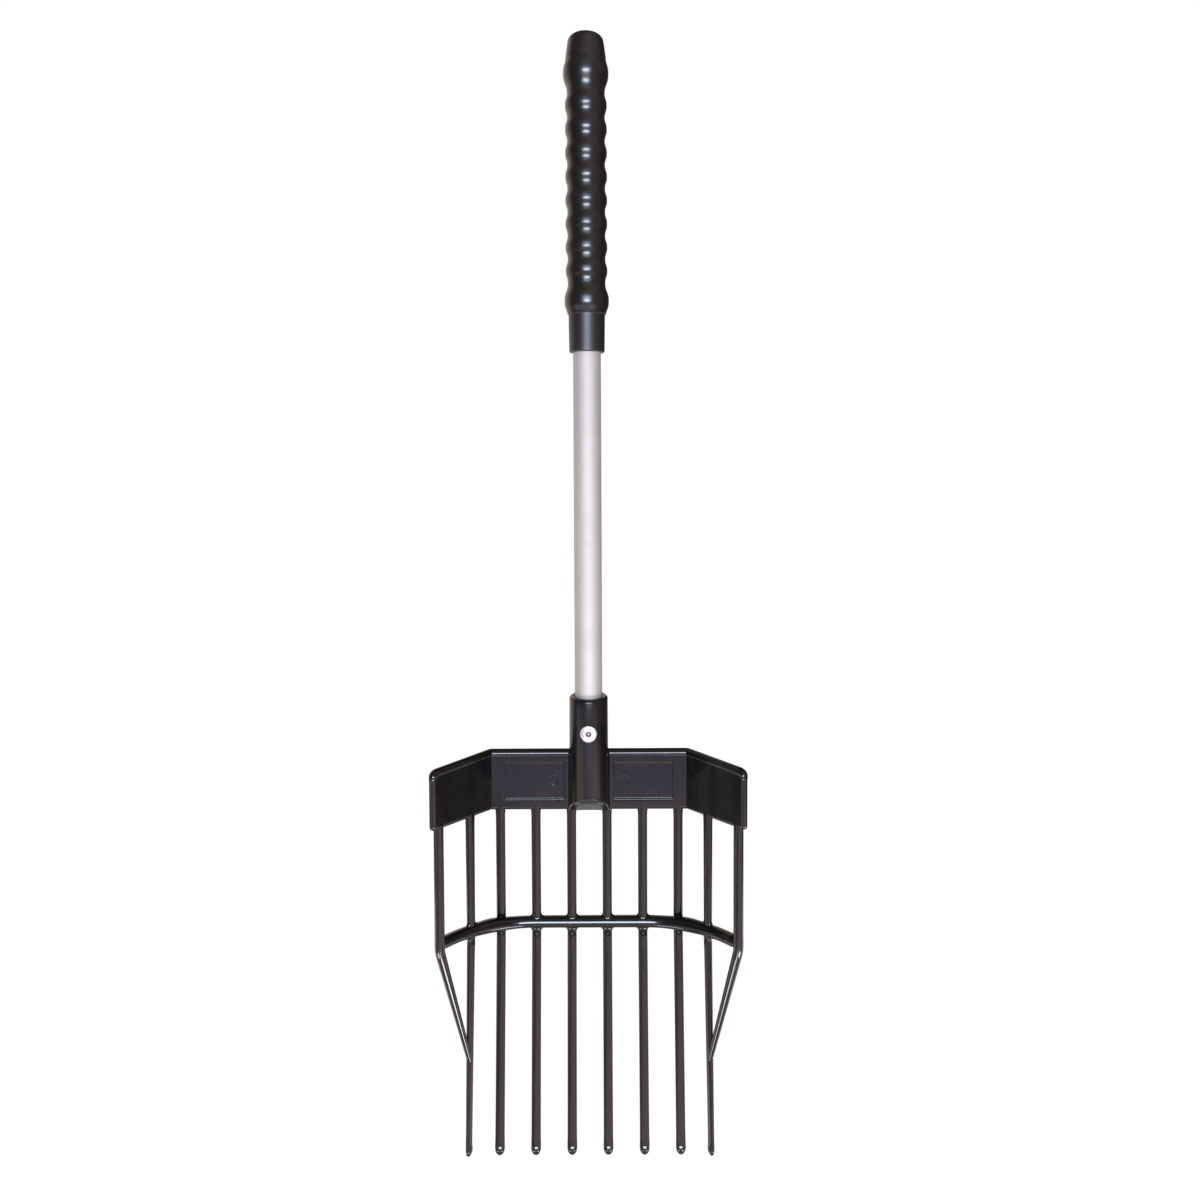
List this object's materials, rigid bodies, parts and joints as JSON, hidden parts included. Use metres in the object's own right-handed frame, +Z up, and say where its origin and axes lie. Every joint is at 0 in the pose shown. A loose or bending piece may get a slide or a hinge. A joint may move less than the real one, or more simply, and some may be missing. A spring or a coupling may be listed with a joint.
{
  "type": "manure fork",
  "caption": "Manure fork with a moulded black basket head of long tines, side rails and a crossbar, riveted to an aluminium tube with a ringed black grip.",
  "frame": {"origin": "centre of the socket rim, on the axis of the tube", "axes": "+Z up the tube towards the grip, +X to the right seen from the open front, -Y out of the open front of the basket"},
  "size_m": [0.2784, 0.0702, 1.0169],
  "materials": {
    "head_plastic": "satin gloss, moulded black",
    "tube_metal": "satin drawn and anodised",
    "grip_rubber": "satin gloss soft black",
    "rivet_metal": "bright pressed",
    "mandrel_steel": "dull snapped steel"
  },
  "bodies": {
    "root": {"fork_head": "head_plastic", "shaft_tube": "tube_metal", "hand_grip": "grip_rubber", "rivet_body": "rivet_metal", "rivet_mandrel": "mandrel_steel"}
  },
  "joints": []
}
